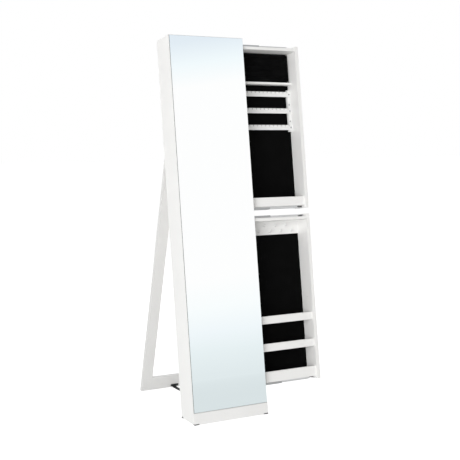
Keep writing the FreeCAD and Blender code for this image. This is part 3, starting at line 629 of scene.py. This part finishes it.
def felt_lining(name, node, body):
    """A sheet of felt over a liner's whole space: flat behind, uneven in front, with rolled edges."""
    low, high = leaning_box(node)
    columns = round((high.x - low.x) / FELT_STEP)
    rows = round((high.z - low.z) / FELT_STEP)
    builder = bmesh.new()
    front, back = [], []
    for row in range(rows + 1):
        for column in range(columns + 1):
            x = low.x + (high.x - low.x) * column / columns
            z = low.z + (high.z - low.z) * row / rows
            wave = noise.noise(Vector((x * FELT_WAVES_PER_METRE, z * FELT_WAVES_PER_METRE, low.z)))
            at_rim = row in (0, rows) or column in (0, columns)
            roll = FELT_ROLL if at_rim else 0.0
            y = low.y + FELT_WAVE * (1 + wave) + roll
            front.append(builder.verts.new(LEANING @ Vector((x, y, z))))
            back.append(builder.verts.new(LEANING @ Vector((x, high.y, z))))
    across = columns + 1
    for row in range(rows):
        for column in range(columns):
            corner = row * across + column
            builder.faces.new([front[corner + step] for step in (0, 1, across + 1, across)])
            builder.faces.new([back[corner + step] for step in (across, across + 1, 1, 0)])
    rim = list(range(across))
    rim += [row * across + columns for row in range(1, rows + 1)]
    rim += [rows * across + column for column in range(columns - 1, -1, -1)]
    rim += [row * across for row in range(rows - 1, 0, -1)]
    for this, after in zip(rim, rim[1:] + rim[:1]):
        builder.faces.new((front[this], front[after], back[after], back[this]))
    lining = add_piece(name, mesh_from(builder, name), FINISHES["black_felt"])
    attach(lining, body)
    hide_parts(node)


# ---- restraint strap ----

STRAP_WIDTH = 0.018
STRAP_THICK = 0.0015
# The strap's middle line, as (y, z) at the middle of the width: down from the base's plate, along the floor
# and up to the leg's plate, with the radius of the bend at each inner point.
STRAP_ROUTE = ((0.0601, 0.0487), (0.0557, 0.0181), (0.0897, 0.00115), (0.4780, 0.00115), (0.4744, 0.0146))
STRAP_BENDS = (0.016, 0.016, 0.003)
STRAP_STEP = 0.0007
ARC_STEPS = 3


def route_points(corners, radii, step):
    """Evenly spaced points along straight runs that are joined by tangent arcs."""
    corners = [Vector(corner) for corner in corners]
    points = [corners[0]]
    for before, corner, after, radius in zip(corners, corners[1:], corners[2:], radii):
        inward = (corner - before).normalized()
        outward = (after - corner).normalized()
        turn = inward.angle(outward)
        setback = radius * math.tan(turn / 2)
        first = corner - inward * setback
        last = corner + outward * setback
        centre = corner + (outward - inward).normalized() * (radius / math.cos(turn / 2))
        points.append(first)
        steps = max(ARC_STEPS, round(radius * turn / step))
        for index in range(1, steps):
            share = index / steps
            ray = (first - centre).lerp(last - centre, share).normalized()
            points.append(centre + ray * radius)
        points.append(last)
    points.append(corners[-1])
    return even_points(points, step)


def even_points(points, step):
    """Points about a step apart along the line through the given ones, from its start to its end."""
    lengths = [0.0]
    for before, after in zip(points, points[1:]):
        lengths.append(lengths[-1] + (after - before).length)
    count = round(lengths[-1] / step)
    even = []
    piece = 0
    for index in range(count + 1):
        distance = lengths[-1] * index / count
        while piece < len(points) - 2 and lengths[piece + 1] < distance:
            piece += 1
        run = lengths[piece + 1] - lengths[piece]
        even.append(points[piece].lerp(points[piece + 1], (distance - lengths[piece]) / run))
    return even


# Where the slack part starts and how long it is, as shares of the strap. The rest lies on its line.
SLACK_START = 0.14
SLACK_RUN = 0.74
STRAP_HUMP = 0.0032
STRAP_DRIFT = 0.0035
# Each wave along the strap: its radians over the whole length, and its phase.
HUMP_WAVE = (9.5, 0.0)
RIPPLE_WAVE = (17, 0.6)
DRIFT_WAVE = (7.0, 0.9)
RIPPLE_MEAN = 0.55
RIPPLE_SWING = 0.45


def wave_at(share, wave):
    radians, phase = wave
    return math.sin(radians * share + phase)


def slack(share):
    """How far the strap rises off its line and drifts sideways, at a share of its length."""
    free = max(0.0, math.sin(math.pi * min(max((share - SLACK_START) / SLACK_RUN, 0.0), 1.0)))
    ripple = RIPPLE_MEAN + RIPPLE_SWING * wave_at(share, RIPPLE_WAVE)
    lift = STRAP_HUMP * free * ripple * max(0.0, wave_at(share, HUMP_WAVE))
    drift = STRAP_DRIFT * free * wave_at(share, DRIFT_WAVE)
    return lift, drift


WARP_YARNS = 12
STRAP_COLUMNS = WARP_YARNS * 2
WEAVE_RELIEF = 0.00022
# As shares of the relief: a yarn's mean height over the valleys, how far it goes over and under, and the
# valleys' depth.
YARN_MEAN = 0.6
YARN_SWING = 0.4
YARN_VALLEY = 0.4
# The band is thinner by this share at its two edges, and the power sets how near to them that starts.
EDGE_THINNING = 0.35
EDGE_POWER = 8


def strap_row(builder, line, index, side):
    """One row of points across the band, on the side that is up on the floor (1) or under it (-1)."""
    before = line[max(index - 1, 0)]
    after = line[min(index + 1, len(line) - 1)]
    along = (after - before).normalized()
    outward = Vector((0, -along.y, along.x))
    lift, drift = slack(index / (len(line) - 1))
    row = []
    for column in range(STRAP_COLUMNS + 1):
        across = column / STRAP_COLUMNS - 0.5
        over = math.sin(math.pi * (index / 2 + column // 2))
        crown = math.sin(math.pi * column / 2) ** 2
        relief = WEAVE_RELIEF * (crown * (YARN_MEAN + YARN_SWING * over) - YARN_VALLEY)
        edge = 1 - abs(2 * across) ** EDGE_POWER * EDGE_THINNING
        height = (STRAP_THICK / 2 + relief) * edge * side
        place = Vector((across * STRAP_WIDTH + drift, line[index].x, line[index].y + lift))
        row.append(builder.verts.new(place + outward * height))
    return row


def strap_faces(builder, sides):
    """The band's two sides, its two edges and its two ends."""
    for side, rows in sides.items():
        for lower, upper in zip(rows, rows[1:]):
            for column in range(STRAP_COLUMNS):
                corners = (lower[column], lower[column + 1], upper[column + 1], upper[column])
                builder.faces.new(corners if side > 0 else corners[::-1])
    top, bottom = sides[1], sides[-1]
    last = len(top) - 1
    for column in (0, STRAP_COLUMNS):
        for index in range(last):
            builder.faces.new((top[index][column], top[index + 1][column],
                               bottom[index + 1][column], bottom[index][column]))
    for index in (0, last):
        for column in range(STRAP_COLUMNS):
            builder.faces.new((top[index][column], top[index][column + 1],
                               bottom[index][column + 1], bottom[index][column]))


def webbing_strap():
    """A woven band: raised warp yarns that pass over and under at each step of its length."""
    line = route_points(STRAP_ROUTE, STRAP_BENDS, STRAP_STEP)
    builder = bmesh.new()
    sides = {1: [], -1: []}
    for index in range(len(line)):
        for side, rows in sides.items():
            rows.append(strap_row(builder, line, index, side))
    strap_faces(builder, sides)
    strap = add_piece("webbing_strap", mesh_from(builder, "webbing_strap"), FINISHES["black_webbing"])
    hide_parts("restraint_strap")
    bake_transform(strap)


# ---- slide ends ----

BRACKET_WIDTH = 0.022
BRACKET_METAL = 0.0012
BRACKET_ROUNDING = 0.0003
BRACKET_STEPS = 2
# How far a bracket stops short of the end panel's edge.
BRACKET_CLEAR = 0.0012
BUFFER_LENGTH = 0.021
BUFFER_WIDTH = 0.012
BUFFER_HEIGHT = 0.0058
TALL_BUFFER = 0.012
BUFFER_ROUNDING = 0.0012
BUFFER_STEPS = 3


def place_block(name, builder, finish, body):
    """Leans what has been built with the housing, and puts it on its body."""
    mesh = mesh_from(builder, name)
    mesh.transform(LEANING)
    piece = add_piece(name, mesh, finish, smooth=False)
    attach(piece, body)
    return piece


def slide_end(box, end, buffer_height=BUFFER_HEIGHT):
    """What closes a slide's outer end: a steel tab bent along the end panel, and a buffer against it."""
    name = f"{box}_{end}_slide"
    body = f"{box}_pullout"
    slide_low, slide_high = leaning_box(f"{box}_slide_inners")
    panel_low, panel_high = leaning_box(f"{box}_end_panel")
    board_low, board_high = leaning_box(f"{box}_{end}_board")
    at_top = end == "top"
    away = 1 if at_top else -1
    base = board_high.z if at_top else board_low.z
    rim = panel_high.z if at_top else panel_low.z
    reach = abs(rim - base) - BRACKET_CLEAR
    middle = (slide_low.y + slide_high.y) / 2
    face = panel_low.x
    stop = face - BRACKET_METAL

    def block(builder, left, right, width, near, far, rounding, steps):
        """A block over a range of x and of heights from the box's board, centred on the slide."""
        low_z, high_z = sorted((base + away * near, base + away * far))
        low = (left, middle - width / 2, low_z)
        high = (right, middle + width / 2, high_z)
        rounded_block(builder, low, high, rounding, steps)

    steel = bmesh.new()
    block(steel, slide_high.x, face, BRACKET_WIDTH, 0.0, BRACKET_METAL, BRACKET_ROUNDING, BRACKET_STEPS)
    block(steel, stop, face, BRACKET_WIDTH, 0.0, reach, BRACKET_ROUNDING, BRACKET_STEPS)
    tab = place_block(name + "_bracket", steel, FINISHES["zinc_steel"], body)
    soft = bmesh.new()
    start = stop - BUFFER_LENGTH
    top = BRACKET_METAL + min(buffer_height, reach - BRACKET_METAL)
    block(soft, start, stop, BUFFER_WIDTH, BRACKET_METAL, top, BUFFER_ROUNDING, BUFFER_STEPS)
    buffer = place_block(name + "_buffer", soft, BUFFER_RUBBER, body)


def slide_ends():
    slide_end("upper", "top", TALL_BUFFER)
    slide_end("upper", "bottom")
    slide_end("lower", "top")
    slide_end("lower", "bottom")


# ---- camera, floor and light ----

CAMERA_PLACE = (-1.6765, -3.1609, 1.1076)
CAMERA_TURN = 28.24
CAMERA_DIP = 5.94
LENS = 73.0
SENSOR = 36.0


def make_camera():
    data = bpy.data.cameras.new("camera")
    data.lens = LENS
    data.sensor_width = SENSOR
    camera = bpy.data.objects.new("camera", data)
    camera.location = CAMERA_PLACE
    camera.rotation_euler = (math.radians(90 - CAMERA_DIP), 0, math.radians(-CAMERA_TURN))
    bpy.context.scene.collection.objects.link(camera)
    bpy.context.scene.camera = camera


def mirrored(tree, ray):
    """1 for what is seen in the mirror and metal or through glass, and 0 otherwise."""
    inputs = {0: ray.outputs["Is Glossy Ray"], 1: ray.outputs["Is Transmission Ray"]}
    return add(tree, "ShaderNodeMath", inputs, operation="MAXIMUM").outputs[0]


def either(tree, share, first, second):
    """The first shader at a share of 0, and the second at 1."""
    return add(tree, "ShaderNodeMixShader", {0: share, 1: first, 2: second}).outputs[0]


FLOOR_HALF = 30.0
FLOOR_GREY = 0.80
# The light that the floor adds for the camera, so that it comes out white outside the object's shadow.
FLOOR_LIFT = 0.64
# What the mirror shows of the floor, as (distance in front, colour): near the mirror, and far off.
FLOOR_NEAR = (3.0, (0.700, 0.768, 0.783, 1))
FLOOR_FAR = (26.0, (0.758, 0.829, 0.845, 1))


def floor_material():
    material = bpy.data.materials.new("studio_floor")
    material.use_nodes = True
    tree = material.node_tree
    tree.nodes.clear()
    ray = add(tree, "ShaderNodeLightPath")
    matt = add(tree, "ShaderNodeBsdfDiffuse", {"Color": colour(FLOOR_GREY)}).outputs[0]
    lift = add(tree, "ShaderNodeEmission", {"Color": colour(1.0), "Strength": FLOOR_LIFT}).outputs[0]
    lit = add(tree, "ShaderNodeAddShader", {0: matt, 1: lift}).outputs[0]
    seen = either(tree, ray.outputs["Is Camera Ray"], matt, lit)
    place = add(tree, "ShaderNodeTexCoord").outputs["Object"]
    forward = add(tree, "ShaderNodeSeparateXYZ", {"Vector": place}).outputs["Y"]
    limits = {"From Min": -FLOOR_NEAR[0], "From Max": -FLOOR_FAR[0]}
    share = add(tree, "ShaderNodeMapRange", {"Value": forward, **limits}).outputs["Result"]
    tone = colour_ramp(tree, share, ((0.0, FLOOR_NEAR[1]), (1.0, FLOOR_FAR[1])))
    studio = add(tree, "ShaderNodeEmission", {"Color": tone, "Strength": 1.0}).outputs[0]
    surface = either(tree, mirrored(tree, ray), seen, studio)
    add(tree, "ShaderNodeOutputMaterial", {"Surface": surface})
    return material


def make_floor():
    """A plain pale floor: white to the camera but for the shadow, and pale blue-grey in the mirror."""
    builder = bmesh.new()
    corners = ((-1, -1), (1, -1), (1, 1), (-1, 1))
    builder.faces.new([builder.verts.new((x * FLOOR_HALF, y * FLOOR_HALF, 0)) for x, y in corners])
    floor = add_piece("floor", mesh_from(builder, "floor"), floor_material())


AMBIENT = (1.0, 0.992, 0.975, 1)
AMBIENT_LEVEL = 0.50
# The studio that the mirror shows, by the sine of the elevation: blue-grey at the horizon, white above it,
# and pale blue again at the top.
SKY_LOW = -0.05
SKY_HIGH = 0.40
SKY = (
    (-0.05, (0.700, 0.770, 0.785, 1)),
    (0.0, (0.760, 0.831, 0.847, 1)),
    (0.022, (0.807, 0.880, 0.896, 1)),
    (0.043, (0.880, 0.938, 0.965, 1)),
    (0.070, (0.955, 0.990, 0.995, 1)),
    (0.100, (1.0, 1.0, 1.0, 1)),
    (0.300, (1.0, 1.0, 1.0, 1)),
    (0.323, (0.895, 0.963, 0.989, 1)),
    (0.345, (0.775, 0.850, 0.915, 1)),
    (0.40, (0.730, 0.805, 0.880, 1)),
)


def make_world():
    """The world: even ambient light, white to the camera, and the studio's sky in the mirror."""
    world = bpy.data.worlds.new("studio")
    bpy.context.scene.world = world
    world.use_nodes = True
    tree = world.node_tree
    tree.nodes.clear()
    ray = add(tree, "ShaderNodeLightPath")
    direction = add(tree, "ShaderNodeTexCoord").outputs["Generated"]
    height = add(tree, "ShaderNodeSeparateXYZ", {"Vector": direction}).outputs["Z"]
    limits = {"From Min": SKY_LOW, "From Max": SKY_HIGH}
    share = add(tree, "ShaderNodeMapRange", {"Value": height, **limits}).outputs["Result"]
    tone = colour_ramp(tree, share, [((sine - SKY_LOW) / (SKY_HIGH - SKY_LOW), sky) for sine, sky in SKY])
    ambient = add(tree, "ShaderNodeBackground", {"Color": AMBIENT, "Strength": AMBIENT_LEVEL}).outputs[0]
    studio = add(tree, "ShaderNodeBackground", {"Color": tone, "Strength": 1.0}).outputs[0]
    white = add(tree, "ShaderNodeBackground", {"Color": colour(1.0), "Strength": 1.0}).outputs[0]
    unseen = either(tree, mirrored(tree, ray), ambient, studio)
    surface = either(tree, ray.outputs["Is Camera Ray"], unseen, white)
    add(tree, "ShaderNodeOutputWorld", {"Surface": surface})


AIM = (0.1, 0.05, 0.75)
KEY_PLACE = (-3.45, -3.05, 1.15)
KEY_SIZE = 2.6
KEY_POWER = 150
REAR_PLACE = (0.8, 3.6, 3.0)
REAR_SIZE = 2.8
REAR_POWER = 60


def lamp(name, place, size, power):
    """A square lamp that points at the object and doesn't show in the mirror."""
    data = bpy.data.lights.new(name, "AREA")
    data.shape = "SQUARE"
    data.size = size
    data.energy = power
    made = bpy.data.objects.new(name, data)
    made.location = place
    made.rotation_euler = (Vector(AIM) - Vector(place)).to_track_quat("-Z", "Y").to_euler()
    made.visible_glossy = False
    bpy.context.scene.collection.objects.link(made)


def make_lamps():
    lamp("key", KEY_PLACE, KEY_SIZE, KEY_POWER)
    lamp("rear", REAR_PLACE, REAR_SIZE, REAR_POWER)


make_camera()
bpy.context.scene.view_settings.view_transform = "Standard"
make_world()
make_floor()
make_lamps()
finish_nodes()
ring_pad()
ring_pad_piping()
felt_lining("upper_felt", "upper_felt_liner", "upper_pullout")
felt_lining("lower_felt", "lower_felt_liner", "lower_pullout")
webbing_strap()
slide_ends()
